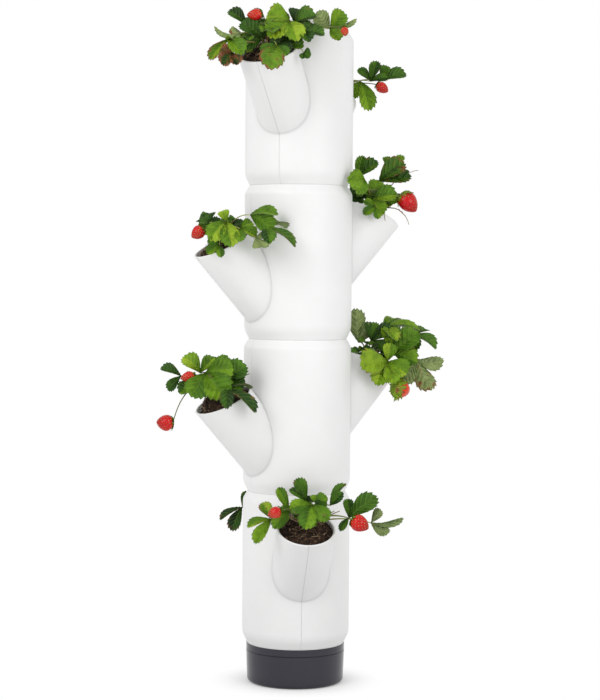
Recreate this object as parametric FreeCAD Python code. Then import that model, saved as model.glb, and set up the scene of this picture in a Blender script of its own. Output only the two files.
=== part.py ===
import FreeCAD, Part
import os
from math import sin, cos, tan, radians, sqrt
from FreeCAD import Vector, Rotation, Placement

# A planting tower of stacked tiers. Each tier is two moulded half shells with one high and one low
# slanted pocket, and turns on a ring above the tier below. The origin is the centre of the foot,
# +Z is up, and the viewer stands on the -Y side. Sizes are in millimetres, angles in degrees.

# Tier wall
tower_d = 176.0
wall = 3.0
tier_pitch = 250.0
neck_inset = 7.5
foot_slope = 26.0
foot_blend = 30.0
head_slope = 31.0
head_blend = 12.0

# Collar inside each neck, and the ring between two tiers
collar_thick = 2.5
collar_depth = 12.0
ring_thick = 2.5
ring_flange = 1.5
ring_flange_inset = 0.4
ring_skirt = 11.0
turn_clearance = 0.3
rest_gap = 0.3

# Pockets, measured from the tier's lower joint
pocket_d = 93.0
pocket_slant = 43.0
pocket_reach = 185.0
high_lip = 184.0
low_lip = 132.0
mouth_tilt = 26.5
lip_round = 1.2

# Seam between the half shells, and its snap tongues
seam_width = 0.7
seam_depth = 0.9
tongue_length = 8.0
tongue_height = 20.0
tongue_thick = 1.8
strap_width = 4.0
strap_thick = 2.2
tongue_offset = 18.0

# Perforated floor of a tier
floor_thick = 3.0
floor_slots = 12
slot_width = 6.0
slot_inner = 26.0
slot_outer = 66.0
rib_thick = 2.0
rib_depth = 4.0

# Soil
soil_gap = 0.3
soil_top_drop = 14.0
soil_mouth_drop = 9.0
mound_height = 12.0
mound_share = 0.8

# Base: water tub, collar, grate and wick basket
base_height = 65.0
base_d = 162.0
base_foot_d = 159.0
base_corner = 7.0
tub_floor = 4.0
band_height = 12.0
base_groove = 0.8
spigot_depth = 12.0
grate_thick = 3.0
grate_ledge = 3.0
basket_d = 46.0
basket_taper = 5.0
basket_wall = 2.0
basket_lift = 3.0
basket_slots = 6

# Turn of each tier about the tower's axis, bottom tier first: where its high pocket faces
tier_turns = [6.5, 122.5, 119.5, -21.0]

# Crowns, stems and berries' green stars
crown_d = 18.0
crown_height = 9.0
stem_thick = 2.4
stem_taper = 0.4
stem_bends = 4
stem_arch = 16.0
calyx_points = 5
calyx_d = 18.0
calyx_notch_d = 7.2
calyx_thick = 1.5
calyx_hold = 1.0

# Where a stem's arch is highest, as shares of its reach and of its rise
rising_bow = (0.45, 0.7)
drooping_bow = (0.75, -0.3)

# Leaflets: plate, fold along the midrib and arch, as shares of the half width and of the length
leaf_thick = 1.0
leaf_fold = 0.25
leaf_arch = 0.4
leaf_root = 2.0
leaf_fullness = 1.25

# Half outline of a leaflet as shares of its length and half width, and where its midrib bends
leaf_rim = [(0.25, 0.62), (0.6, 1.0), (0.88, 0.66)]
leaf_bend = 0.45

# The two leaflets that grow beside the middle one: their turn from it and their share of its size
side_turn = 62.0
side_share = 0.85

# Half outline of a berry as shares of its half width and its length, from calyx to tip
berry_rim = [(0.3, 0.0), (0.85, 0.12), (1.0, 0.35), (0.8, 0.7), (0.3, 0.96)]

# Plants. A leaf is its stem's end and then its leaflets, each a tip, a width and how far its face
# leans from upwards to the viewer. A leaf with one leaflet here grows the pair beside it by rule.
# A berry is its calyx, its tip and its width. Points are x, y, z from the middle of the pocket's
# mouth, with the plant turned by its tier's plant_turns.
plant_turns = [-6.5, -122.5, -119.5, 21.0]
plants = {
    "tier_4_high": (
        [
            [(-33, 5, 41), ((-60, 8, 63), 18, 50), ((-12, 14, 66), 11, 60)],
            [(17, 10, 48), ((16, 12, 70), 14, 80)],
            [(36, -10, 45), ((4, -25, 19), 30, 60)],
            [(-7, -5, 18), ((-41, -3, 42), 24, 60)],
            [(-41, -10, 26), ((-81, -10, 35), 16, 20)],
            [(-60, -22, 16), ((-88, -30, -16), 15, 60), ((-38, -46, -10), 22, 60)],
            [(-52, -42, -8), ((-68, -44, -26), 18, 60)],
            [(15, -42, 4), ((5, -62, -33), 28, 70)],
            [(29, -20, 15), ((8, -32, 3), 15, 60)],
            [(33, -12, 9), ((52, -10, 30), 20, 60)],
            [(42, -5, 29), ((58, -3, 46), 12, 50)],
            [(42, 8, 44), ((75, 8, 56), 24, 50)],
            [(55, -10, 29), ((88, -12, 25), 20, 40)],
            [(57, -20, -4), ((66, -22, -12), 9, 70)],
            [
                (98, 12, 37),
                ((116, 12, 65), 22, 120),
                ((80, 14, 64), 22, 60),
                ((112, 2, 18), 18, 50),
                ((138, 12, 52), 9, 40),
            ],
        ],
        [((-9, -8, 57), (-32, -12, 54), 18), ((120, -8, 36), (122, -14, 23), 13)],
    ),
    "tier_4_low": (
        [
            [(70, 0, 31), ((81, 0, 64), 15, 60)],
            [(88, 0, 33), ((129, 0, 42), 22, 50), ((98, 4, 57), 14, 60)],
            [(52, -12, 30), ((68, -20, -18), 22, 60), ((38, -8, 4), 20, 60)],
            [(10, 40, 25), ((32, 62, 25), 24, -40), ((-12, 62, 22), 24, -40), ((12, 76, 6), 22, -30)],
            [(-45, 12, 30), ((-76, 20, 38), 22, 0), ((-58, -5, 48), 20, 20)],
            [(-32, 38, 12), ((-54, 58, 4), 22, -40)],
        ],
        [((81, -12, 24), (99, -18, 12), 19)],
    ),
    "tier_3_low": (
        [
            [(-15, 0, 21), ((-30, 5, 46), 16, 50)],
            [
                (9, -32, 35),
                ((-16, -50, 7), 24, 70),
                ((18, -52, -3), 24, 70),
                ((2, -27, 52), 14, 60),
            ],
            [(47, -42, 46), ((89, -46, 47), 22, 30), ((82, -52, 22), 26, 60)],
            [(73, -50, 24), ((117, -56, -2), 22, 20)],
            [(31, -42, 24), ((56, -46, 12), 16, 50)],
            [(56, -56, 11), ((79, -58, 2), 12, 50)],
            [(-1, -52, -2), ((-20, -57, -15), 12, 70)],
            [(-8, 35, 18), ((-28, 52, 22), 22, -40), ((2, 62, 8), 22, -40), ((12, 44, 40), 18, -20)],
        ],
        [((-28, -28, 24), (-46, -32, 10), 21)],
    ),
    "tier_3_high": (
        [
            [(-26, 4, 62), ((-16, 4, 98), 14, 60), ((8, 2, 88), 22, 50)],
            [(10, -5, 56), ((52, -5, 86), 28, 60), ((62, -14, 62), 24, 60)],
            [(30, 12, 74), ((52, 14, 99), 12, 50)],
            [(-16, -90, 54), ((-44, -120, 54), 26, 90), ((-28, -116, 32), 18, 90)],
            [(-4, -30, 25), ((38, -36, 33), 24, 60)],
            [(4, -54, 12), ((-16, -64, 0), 12, 70)],
            [(22, 40, 25), ((44, 58, 24), 22, -30), ((10, 68, 12), 22, -30)],
        ],
        [((48, -18, 34), (72, -26, 6), 32)],
    ),
    "tier_2_low": (
        [
            [(-67, 2, 38), ((-99, 6, 50), 16, 40), ((-86, -4, 15), 14, 50)],
            [(-36, -5, 43), ((-62, 0, 69), 22, 50), ((-15, 2, 67), 16, 60)],
            [(-42, -14, 27), ((-68, -20, 12), 18, 50)],
            [(-12, 4, 48), ((12, 4, 64), 16, 40)],
            [(6, -15, 34), ((38, -15, 54), 28, 60)],
            [(-27, -30, 45), ((5, -46, 8), 36, 70)],
            [(9, -42, 20), ((53, -50, -14), 20, 20)],
            [(-6, 38, 18), ((-26, 56, 20), 22, -40), ((6, 62, 6), 22, -40)],
        ],
        [((-44, -26, 40), (-66, -30, 36), 17), ((-79, -26, -36), (-104, -32, -34), 27)],
    ),
    "tier_2_high": (
        [
            [(-17, 2, 36), ((-22, 6, 91), 24, 60), ((-2, 2, 69), 20, 50)],
            [(4, -10, 38), ((41, -10, 60), 22, 50)],
            [(23, 6, 57), ((88, 6, 65), 22, 0)],
            [(40, -22, 21), ((82, -24, 53), 30, 60)],
            [(72, 0, 49), ((112, -4, 28), 20, 30)],
            [(30, -50, 7), ((36, -46, 36), 18, 70), ((-11, -68, -2), 28, 60), ((61, -58, -12), 26, 60)],
            [(80, -8, 9), ((107, -12, -39), 26, 50)],
            [(12, 42, 20), ((36, 58, 22), 22, -30), ((0, 66, 8), 22, -40)],
            [(52, 26, 28), ((82, 40, 24), 22, -20), ((62, 50, 10), 20, -40)],
        ],
        [((37, -48, -34), (70, -54, -44), 31)],
    ),
    "tier_1_high": (
        [
            [(-54, -15, 16), ((-70, -8, 40), 20, 50), ((-91, -18, 5), 16, 40), ((-79, -34, -18), 20, 50)],
            [(0, 10, 41), ((-14, 22, 76), 20, 60), ((-26, 8, 60), 16, 40)],
            [(-27, -4, 28), ((-44, 4, 63), 16, 60), ((-50, -26, 4), 22, 60)],
            [(9, -20, 40), ((-2, -40, 6), 34, 70)],
            [(38, 0, 37), ((62, 8, 69), 20, 10), ((57, -12, 58), 18, 60)],
            [(67, -5, 18), ((66, 6, 46), 16, 60), ((110, -4, 50), 30, 60), ((54, -22, 0), 12, 50)],
            [(102, -8, 11), ((115, -12, 33), 15, 60), ((130, -14, -2), 20, 40), ((151, -4, 17), 14, 40)],
        ],
        [((-40, -40, 33), (-60, -44, 26), 19), ((72, -36, 20), (97, -42, 6), 26)],
    ),
    "tier_1_low": (
        [
            [(-77, 0, 50), ((-66, 6, 76), 14, 50), ((-114, 0, 30), 13, 30), ((-94, -12, 13), 18, 50)],
            [(30, 40, 25), ((60, 52, 30), 24, -30), ((36, 74, 12), 24, -40), ((18, 56, 48), 20, -20)],
            [(-26, 45, 20), ((-52, 64, 12), 24, -40), ((-12, 80, 4), 22, -40)],
            [(45, 5, 35), ((76, -2, 42), 22, 10), ((62, 24, 54), 20, 0)],
        ],
        [],
    ),
}

# Worked out from the sizes above
tower_r = tower_d / 2
neck_r = tower_r - neck_inset
seat_r = neck_r - wall
inner_r = tower_r - wall
pocket_r = pocket_d / 2
bore_r = pocket_r - wall
slant = radians(pocket_slant)
tilt = radians(mouth_tilt)
beyond = 3 * tier_pitch


def at(r, z):
    """A point of a profile in the XZ plane, at radius r and height z."""
    return Vector(r, 0, z)


def revolve(edges):
    """The solid that a closed profile makes when it turns about the Z axis."""
    return Part.Face(Part.Wire(edges)).revolve(Vector(0, 0, 0), Vector(0, 0, 1), 360)


def revolve_points(points):
    corners = [at(r, z) for r, z in points]
    edges = [Part.LineSegment(a, b).toShape() for a, b in zip(corners, corners[1:] + corners[:1])]
    return revolve(edges)


def disc(radius, z, height):
    return Part.makeCylinder(radius, height, Vector(0, 0, z))


def core(radius):
    """A cylinder about the tower's axis that reaches beyond a tier at both ends, for cutting."""
    return disc(radius, -tier_pitch, beyond)


def box(x0, x1, y0, y1, z0, z1):
    return Part.makeBox(x1 - x0, y1 - y0, z1 - z0, Vector(x0, y0, z0))


def turned(shape, angle, z=0):
    """A copy turned about the Z axis and raised to height z."""
    copy = shape.copy()
    copy.Placement = Placement(Vector(0, 0, z), Rotation(Vector(0, 0, 1), angle)).multiply(copy.Placement)
    return copy


def shoulder(slope, blend, rim_z, up):
    """Corner, blend start, blend middle and blend end of a shoulder that leaves a rim at rim_z.

    up is 1 where the wall rises from the rim and -1 where it hangs from it. The second list is the
    same shoulder on the wall's inner face, from the collar's outer side.
    """
    a = radians(slope)
    run = neck_inset - blend * (1 - cos(a))
    rise = run / tan(a)
    centre_r = tower_r - blend
    centre_z = rim_z + up * (rise + blend * sin(a))

    def on_arc(radius, angle):
        return (centre_r + radius * cos(angle), centre_z - up * radius * sin(angle))

    outer = [(neck_r, rim_z), on_arc(blend, a), on_arc(blend, a / 2), on_arc(blend, 0)]
    start = on_arc(blend - wall, a)
    foot_r = seat_r + collar_thick
    foot_z = start[1] - up * (start[0] - foot_r) / tan(a)
    inner = [(foot_r, foot_z), start, on_arc(blend - wall, a / 2), on_arc(blend - wall, 0)]
    return outer, inner


def line(p, q):
    return Part.LineSegment(at(*p), at(*q)).toShape()


def arc(p, q, r):
    return Part.Arc(at(*p), at(*q), at(*r)).toShape()


foot_outer, foot_inner = shoulder(foot_slope, foot_blend, ring_flange, 1)
head_outer, head_inner = shoulder(head_slope, head_blend, tier_pitch, -1)
ledge_z = ring_flange + collar_depth
head_collar_z = tier_pitch - collar_depth


def tier_wall():
    """The round wall of a tier with both shoulders and the collars inside its necks."""
    collar_r = seat_r + collar_thick
    edges = [
        line(foot_outer[0], foot_outer[1]),
        arc(foot_outer[1], foot_outer[2], foot_outer[3]),
        line(foot_outer[3], head_outer[3]),
        arc(head_outer[3], head_outer[2], head_outer[1]),
        line(head_outer[1], head_outer[0]),
        line(head_outer[0], (seat_r, tier_pitch)),
        line((seat_r, tier_pitch), (seat_r, head_collar_z)),
        line((seat_r, head_collar_z), (collar_r, head_collar_z)),
        line((collar_r, head_collar_z), head_inner[0]),
        line(head_inner[0], head_inner[1]),
        arc(head_inner[1], head_inner[2], head_inner[3]),
        line(head_inner[3], foot_inner[3]),
        arc(foot_inner[3], foot_inner[2], foot_inner[1]),
        line(foot_inner[1], foot_inner[0]),
        line(foot_inner[0], (collar_r, ledge_z)),
        line((collar_r, ledge_z), (seat_r, ledge_z)),
        line((seat_r, ledge_z), (seat_r, ring_flange)),
        line((seat_r, ring_flange), foot_outer[0]),
    ]
    return revolve(edges)


def mouth_centre(lip_z):
    """Where a pocket's axis meets its mouth, as (radius, height)."""
    axis_r = pocket_reach - pocket_r * cos(slant)
    axis_z = lip_z + pocket_r * sin(slant)
    plane_z = lip_z + (pocket_reach - axis_r) * tan(tilt)
    back = (axis_z - plane_z) / (cos(slant) + tan(tilt) * sin(slant))
    return axis_r - back * sin(slant), axis_z - back * cos(slant)


def slanted(radius, lip_z, drop=0.0):
    """A round bar along a pocket's axis that faces -Y, cut off square with the mouth.

    It ends drop below the mouth plane and starts at the tower's axis.
    """
    r, z = mouth_centre(lip_z)
    length = r / sin(slant)
    start = Vector(0, 0, z - r / tan(slant))
    along = Vector(0, -sin(slant), cos(slant))
    bar = Part.makeCylinder(radius, length + 2 * pocket_d, start, along)
    normal = Vector(0, -sin(tilt), cos(tilt))
    lid = Part.makeBox(beyond, beyond, beyond, Vector(-beyond / 2, -beyond / 2, 0))
    lid.Placement = Placement(Vector(0, -r, z) - normal * drop, Rotation(Vector(0, 0, 1), normal))
    return bar.cut(lid)


def pocket_tube(lip_z, face):
    """One pocket's wall outside the tier, with its rounded lip. face is -1 for -Y and 1 for +Y."""
    tube = slanted(pocket_r, lip_z).cut(slanted(bore_r, lip_z, -pocket_d / 2))
    r, z = mouth_centre(lip_z)
    rim = [e for e in tube.Edges if abs(on_mouth(e, r, z)) < 0.01]
    tube = tube.makeFillet(lip_round, rim)
    tube = tube.cut(core(tower_r - wall / 2))
    return tube if face < 0 else turned(tube, 180)


def on_mouth(edge, r, z):
    """How far an edge's centre lies from the mouth plane, with seam lines counted as far away."""
    if len(edge.Vertexes) > 1:
        return tower_d
    p = edge.CenterOfMass - Vector(0, -r, z)
    return p.dot(Vector(0, -sin(tilt), cos(tilt)))


def pocket_bore(lip_z, face):
    """What a pocket takes out of the tier's wall."""
    bore = slanted(bore_r, lip_z, -pocket_d / 2).cut(core(inner_r - wall / 2))
    return bore if face < 0 else turned(bore, 180)


def seam_groove():
    """The fine groove along the seam, on the wall and down the middle of both pockets."""
    kept = core(tower_r - seam_depth).common(shrunken_wall())
    for lip_z, face in ((high_lip, -1), (low_lip, 1)):
        bar = slanted(pocket_r - seam_depth, lip_z, -pocket_d)
        kept = kept.fuse(bar if face < 0 else turned(bar, 180))
    half = seam_width / 2
    slab = box(-half, half, -beyond, beyond, -wall, tier_pitch + wall)
    return slab.cut(kept)


def shrunken_wall():
    """A full body a seam's depth inside the tier's outer surface."""
    f = [(r - seam_depth, z) for r, z in foot_outer]
    h = [(r - seam_depth, z) for r, z in head_outer]
    edges = [
        line((0, -wall), (f[0][0], -wall)),
        line((f[0][0], -wall), f[0]),
        line(f[0], f[1]),
        arc(f[1], f[2], f[3]),
        line(f[3], h[3]),
        arc(h[3], h[2], h[1]),
        line(h[1], h[0]),
        line(h[0], (h[0][0], tier_pitch + wall)),
        line((h[0][0], tier_pitch + wall), (0, tier_pitch + wall)),
        line((0, tier_pitch + wall), (0, -wall)),
    ]
    return revolve(edges)


def clip_places():
    """Middle heights of the two snap clips: under the high pocket and over the low one."""
    low = high_lip - (pocket_reach - tower_r) / tan(slant) - tongue_height / 2 - tongue_offset
    over = 2 * pocket_r / cos(slant - tilt)
    top_r = pocket_reach - over * cos(tilt)
    top_z = low_lip + over * sin(tilt) - (top_r - tower_r) / tan(slant)
    high = top_z + tongue_height / 2 + tongue_offset
    return low, high


def snap_tongue(mid_z):
    """A tongue on the -Y seam that starts on the -X half and reaches over the +X half."""
    z0 = mid_z - tongue_height / 2
    z1 = mid_z + tongue_height / 2
    face = sqrt(inner_r ** 2 - tongue_length ** 2)
    outer_y = -(face - turn_clearance)
    inner_y = outer_y + tongue_thick
    root = box(-tongue_length, 0, -(inner_r + wall / 2), inner_y, z0, z1)
    blade = box(0, tongue_length, outer_y, inner_y, z0, z1)
    hook = box(tongue_length - tongue_thick, tongue_length, outer_y, inner_y + tongue_thick / 2, z0, z1)
    return root.fuse([blade, hook]).removeSplitter()


def snap_strap(mid_z):
    """The strap on the +X half that the tongue snaps through."""
    z0 = mid_z - tongue_height / 2
    z1 = mid_z + tongue_height / 2
    face = sqrt(inner_r ** 2 - tongue_length ** 2)
    clear_y = -(face - turn_clearance) + tongue_thick + turn_clearance
    x1 = tongue_length - tongue_thick - turn_clearance
    x0 = x1 - strap_width
    outside = -(inner_r + wall / 2)
    edge = strap_thick + rest_gap
    frame = box(x0, x1, outside, clear_y + strap_thick, z0 - edge, z1 + edge)
    window = box(x0, x1, outside, clear_y, z0 - rest_gap, z1 + rest_gap)
    return frame.cut(window)


def clip_room(mid_z):
    """The space inside the wall that a clip needs, which the soil leaves."""
    z0 = mid_z - tongue_height / 2 - strap_thick - 2 * rest_gap
    z1 = mid_z + tongue_height / 2 + strap_thick + 2 * rest_gap
    x = tongue_length + rest_gap
    return box(-x, x, -tower_r, -(inner_r - tongue_thick - 2 * strap_thick - rest_gap), z0, z1)


def half_shells():
    """The two half shells of a tier, split where the pockets' middles lie."""
    whole = tier_wall()
    whole = whole.cut([pocket_bore(high_lip, -1), pocket_bore(low_lip, 1)])
    whole = whole.fuse([pocket_tube(high_lip, -1), pocket_tube(low_lip, 1)])
    whole = whole.cut(seam_groove())
    left = whole.common(box(-beyond, 0, -beyond, beyond, -wall, beyond))
    right = whole.common(box(0, beyond, -beyond, beyond, -wall, beyond))
    low_clip, high_clip = clip_places()
    left = left.fuse([snap_tongue(low_clip), turned(snap_strap(high_clip), 180)])
    right = right.fuse([snap_strap(low_clip), turned(snap_tongue(high_clip), 180)])
    return left.removeSplitter(), right.removeSplitter()


def radial_slots(count, width, inner, outer, z0, z1):
    """Straight slots that point away from the axis, spread evenly round it."""
    cut = box(inner, outer, -width / 2, width / 2, z0, z1)
    return [turned(cut, 360.0 * i / count) for i in range(count)]


def tier_floor():
    """The perforated floor that lies on the lower collar and keeps the soil in its tier."""
    radius = foot_inner[1][0] - turn_clearance
    plate = disc(radius, ledge_z, floor_thick)
    reach = seat_r - turn_clearance - ring_thick - 2 * turn_clearance
    for i in range(3):
        rib = box(-reach, reach, -rib_thick / 2, rib_thick / 2, ledge_z - rib_depth, ledge_z)
        plate = plate.fuse(turned(rib, 60.0 * i + 180.0 / floor_slots))
    slots = radial_slots(floor_slots, slot_width, slot_inner, slot_outer, 0, ledge_z + 2 * floor_thick)
    return plate.cut(slots).removeSplitter()


def tier_soil():
    """The soil of a tier: a core inside the wall and a plug with a mound in each pocket."""
    floor_top = ledge_z + floor_thick
    start_r = foot_inner[1][0] - 2 * soil_gap
    top = tier_pitch - soil_top_drop
    wide_r = inner_r - soil_gap
    middle = revolve_points([
        (0, floor_top),
        (start_r, floor_top),
        (wide_r, foot_outer[3][1]),
        (wide_r, top),
        (0, top),
    ])
    low_clip, high_clip = clip_places()
    middle = middle.cut([clip_room(low_clip), turned(clip_room(high_clip), 180)])
    return Part.makeCompound([middle, soil_plug(high_lip), turned(soil_plug(low_lip), 180)])


def soil_plug(lip_z):
    """Soil in a pocket that faces -Y, with a low mound round the plant's crown."""
    plug = slanted(bore_r - soil_gap, lip_z, soil_mouth_drop)
    r, z = mouth_centre(lip_z)
    foot = bore_r * mound_share
    ball_r = (foot ** 2 + mound_height ** 2) / (2 * mound_height)
    normal = Vector(0, -sin(tilt), cos(tilt))
    middle = Vector(0, -r, z) - normal * soil_mouth_drop
    ball = Part.makeSphere(ball_r, middle - normal * (ball_r - mound_height))
    column = Part.makeCylinder(foot, ball_r, middle - normal * wall, normal)
    plug = plug.fuse(ball.common(column))
    return plug.cut(core(inner_r)).removeSplitter()


def turning_ring():
    """The ring between two tiers: a skirt in each neck and a flange that the upper tier rests on."""
    outer = seat_r - turn_clearance
    inner = outer - ring_thick
    flange_r = neck_r - ring_flange_inset
    return revolve_points([
        (inner, -ring_skirt),
        (outer, -ring_skirt),
        (outer, 0),
        (flange_r, 0),
        (flange_r, ring_flange),
        (outer, ring_flange),
        (outer, ring_flange + ring_skirt - turn_clearance),
        (inner, ring_flange + ring_skirt - turn_clearance),
    ])


def water_tub():
    """The tub that stands on the ground and holds the water."""
    top_r = base_d / 2
    foot_r = base_foot_d / 2
    top_z = base_height - band_height
    c = base_corner
    k = c * (1 - sqrt(0.5))
    g = base_groove
    w = wall
    ci = c - w
    ki = ci * (1 - sqrt(0.5))
    edges = [
        line((0, 0), (foot_r - c, 0)),
        arc((foot_r - c, 0), (foot_r - k, k), (foot_r, c)),
        line((foot_r, c), (top_r, top_z - g)),
        line((top_r, top_z - g), (top_r - g, top_z)),
        line((top_r - g, top_z), (top_r - w, top_z)),
        line((top_r - w, top_z), (foot_r - w, tub_floor + ci)),
        arc((foot_r - w, tub_floor + ci), (foot_r - w - ki, tub_floor + ki), (foot_r - w - ci, tub_floor)),
        line((foot_r - w - ci, tub_floor), (0, tub_floor)),
        line((0, tub_floor), (0, 0)),
    ]
    return revolve(edges)


def spigot_r():
    """Outside radius of the base collar where it hangs in the tub."""
    sag = (base_d - base_foot_d) / 2 * spigot_depth / base_height
    return base_d / 2 - wall - sag - turn_clearance


def base_collar():
    """The band on top of the tub, which carries the lowest ring and the grate."""
    outer = base_d / 2
    band_z = base_height - band_height
    inner = spigot_r() - wall
    low = band_z - spigot_depth
    g = base_groove
    return revolve_points([
        (seat_r, base_height),
        (outer - g, base_height),
        (outer, base_height - g),
        (outer, band_z + g),
        (outer - g, band_z),
        (spigot_r(), band_z),
        (spigot_r(), low),
        (inner - grate_ledge, low),
        (inner - grate_ledge, low + ring_thick),
        (inner, low + ring_thick),
        (inner, base_height - collar_depth),
        (seat_r, base_height - collar_depth),
    ])


def grate_z():
    return base_height - band_height - spigot_depth + ring_thick


def base_grate():
    """The perforated plate over the water."""
    z = grate_z()
    radius = spigot_r() - wall - turn_clearance
    hole = disc(basket_d / 2 + turn_clearance, z - wall, grate_thick + 2 * wall)
    plate = disc(radius, z, grate_thick).cut(hole)
    inner = basket_d / 2 + 3 * basket_wall
    slots = radial_slots(floor_slots, slot_width, inner, slot_outer, z - wall, z + 2 * grate_thick)
    return plate.cut(slots)


def basket_profile(inset):
    """Half section of the wick basket's cup, inset from its outer face."""
    top = grate_z() + grate_thick
    foot = tub_floor + basket_lift
    return [(basket_d / 2 - inset, top), (basket_d / 2 - basket_taper - inset, foot + inset)]


def wick_basket():
    """The slotted cup that hangs through the grate and draws water up into the soil."""
    (r1, top), (r0, foot) = basket_profile(0)
    (q1, _), (q0, deck) = basket_profile(basket_wall)
    cup = revolve_points([
        (0, foot),
        (r0, foot),
        (r1, top),
        (r1 + basket_wall, top),
        (r1 + basket_wall, top + basket_wall),
        (q1, top + basket_wall),
        (q0, deck),
        (0, deck),
    ])
    slots = radial_slots(basket_slots, slot_width, q0 - wall, r1 + wall, deck + wall, top - 2 * wall)
    return cup.cut(slots)


def base_soil():
    """Soil in the basket and over the grate, up to the lowest tier's floor."""
    (q1, top), (q0, deck) = basket_profile(basket_wall + soil_gap)
    lid = top + basket_wall
    neck = basket_d / 2 - basket_wall - soil_gap
    flange = basket_d / 2 + basket_wall
    wide = seat_r - turn_clearance - ring_thick - 2 * soil_gap
    fill = base_height
    return revolve_points([
        (0, deck),
        (q0, deck),
        (neck, lid),
        (flange + soil_gap, lid + soil_gap),
        (wide, lid + soil_gap),
        (wide, fill),
        (0, fill),
    ])


def square_bar(path, radii, side):
    """A thin square bar along a path in a vertical plane; side is the plane's normal."""
    rings = []
    for i, point in enumerate(path):
        before = path[max(i - 1, 0)]
        after = path[min(i + 1, len(path) - 1)]
        along = (after - before).normalize()
        a = side * radii[i]
        b = side.cross(along) * radii[i]
        rings.append([point + a, point + b, point - a, point - b])
    faces = [flat(rings[0]), flat(rings[-1])]
    for a, b in zip(rings, rings[1:]):
        for k in range(4):
            m = (k + 1) % 4
            faces.append(flat([a[k], a[m], b[m]]))
            faces.append(flat([a[k], b[m], b[k]]))
    return closed(faces)


def flat(points):
    return Part.Face(Part.makePolygon(points + points[:1]))


def closed(faces):
    """The solid that flat faces enclose."""
    solid = Part.Solid(Part.makeShell(faces))
    if solid.Volume < 0:
        solid.reverse()
    return solid


def leaf_face(along, lean):
    """The direction that a leaflet's face looks in: lean is 0 for upwards and 90 for the viewer."""
    a = radians(lean)
    want = Vector(0, -sin(a), cos(a))
    return (want - along * want.dot(along)).normalize()


def leaflet(base, tip, width, lean):
    """One toothless leaflet: a thin plate folded along its midrib and arched towards its tip."""
    along = (tip - base).normalize()
    base = base - along * leaf_root
    length = (tip - base).Length
    half = width / 2 * leaf_fullness
    face = leaf_face(along, lean)
    across = along.cross(face)

    def spot(t, s):
        lift = leaf_arch * length * t * (1 - t) + leaf_fold * abs(s) * half
        return base + along * (length * t) + across * (s * half) + face * lift

    root, middle, end = spot(0, 0), spot(leaf_bend, 0), spot(1, 0)
    top = []
    rim = [root]
    for side in (1, -1):
        low, wide, high = [spot(t, s * side) for t, s in leaf_rim]
        top += [[root, low, middle], [middle, low, wide], [middle, wide, high], [middle, high, end]]
        rim += [low, wide, high, end] if side > 0 else [high, wide, low]
    down = face * -leaf_thick
    faces = [flat(t) for t in top] + [flat([p + down for p in t]) for t in top]
    for a, b in zip(rim, rim[1:] + rim[:1]):
        faces.append(flat([a, b, b + down, a + down]))
    return closed(faces)


def leaflets(hub, listed):
    """A leaf's leaflets: all as listed, or the one that is listed with a smaller one on each side."""
    if len(listed) > 1:
        return [(Vector(*tip), width, lean) for tip, width, lean in listed]
    point, width, lean = listed[0]
    along = Vector(*point) - hub
    face = leaf_face(Vector(along).normalize(), lean)
    found = [(Vector(*point), width, lean)]
    for turn in (-side_turn, side_turn):
        tip = hub + Rotation(face, turn).multVec(along) * side_share
        found.append((tip, width * side_share, lean))
    return found


def stem(start, end):
    """A leaf's or berry's stem: it rises from the crown, arches over and thins towards its end."""
    reach = Vector(end.x - start.x, end.y - start.y, 0)
    rise = end.z - start.z
    out, up = rising_bow if rise > 0 else drooping_bow
    middle = start + reach * out + Vector(0, 0, rise * up + stem_arch)
    path = []
    for i in range(stem_bends + 1):
        t = i / stem_bends
        path.append(start * (1 - t) ** 2 + middle * (2 * t * (1 - t)) + end * t ** 2)
    radii = [stem_thick / 2 * (1 - stem_taper * i / stem_bends) for i in range(stem_bends + 1)]
    return square_bar(path, radii, Vector(-reach.y, reach.x, 0).normalize())


def calyx(centre, along):
    """The star of small leaves on a berry's shoulders, square to the berry's axis."""
    side = along.cross(Vector(0.2, 0.1, 1)).normalize()
    rise = along.cross(side)
    points = []
    for i in range(2 * calyx_points):
        r = (calyx_d if i % 2 == 0 else calyx_notch_d) / 2
        a = radians(180.0 * i / calyx_points)
        points.append(centre + side * (r * cos(a)) + rise * (r * sin(a)))
    return flat(points).extrude(along * -calyx_thick)


def berry(start, tip, width):
    """A ripe berry: round shoulders, then a cone with a blunt tip."""
    along = tip - start
    length = along.Length
    top, shoulder, widest, flank, nose = [(s * width / 2, t * length) for s, t in berry_rim]
    shape = revolve([
        line((0, 0), top),
        arc(top, shoulder, widest),
        arc(widest, flank, nose),
        line(nose, (0, length)),
        line((0, length), (0, 0)),
    ])
    shape.Placement = Placement(start, Rotation(Vector(0, 0, 1), along))
    return shape


def plant(leaves, berries):
    """A plant's green parts in one piece: crown, stems, leaflets and the berries' calyxes."""
    ends = [hexagon(crown_d / 2, -crown_height / 2), hexagon(crown_d / 3, crown_height)]
    crown = Part.makeLoft(ends, True, True)
    start = Vector(0, 0, crown_height / 2)
    green = []
    for leaf in leaves:
        hub = Vector(*leaf[0])
        green.append(stem(start, hub))
        for tip, width, lean in leaflets(hub, leaf[1:]):
            green.append(leaflet(hub, tip, width, lean))
    for top, tip, width in berries:
        end = Vector(*top)
        along = (Vector(*tip) - end).normalize()
        green.append(stem(start, end - along * calyx_hold))
        green.append(calyx(end, along))
    return crown.fuse(green)


def hexagon(radius, z):
    corner = Vector(radius, 0, z)
    points = [Rotation(Vector(0, 0, 1), 60.0 * i).multVec(corner) for i in range(6)]
    return Part.makePolygon(points + points[:1])


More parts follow.
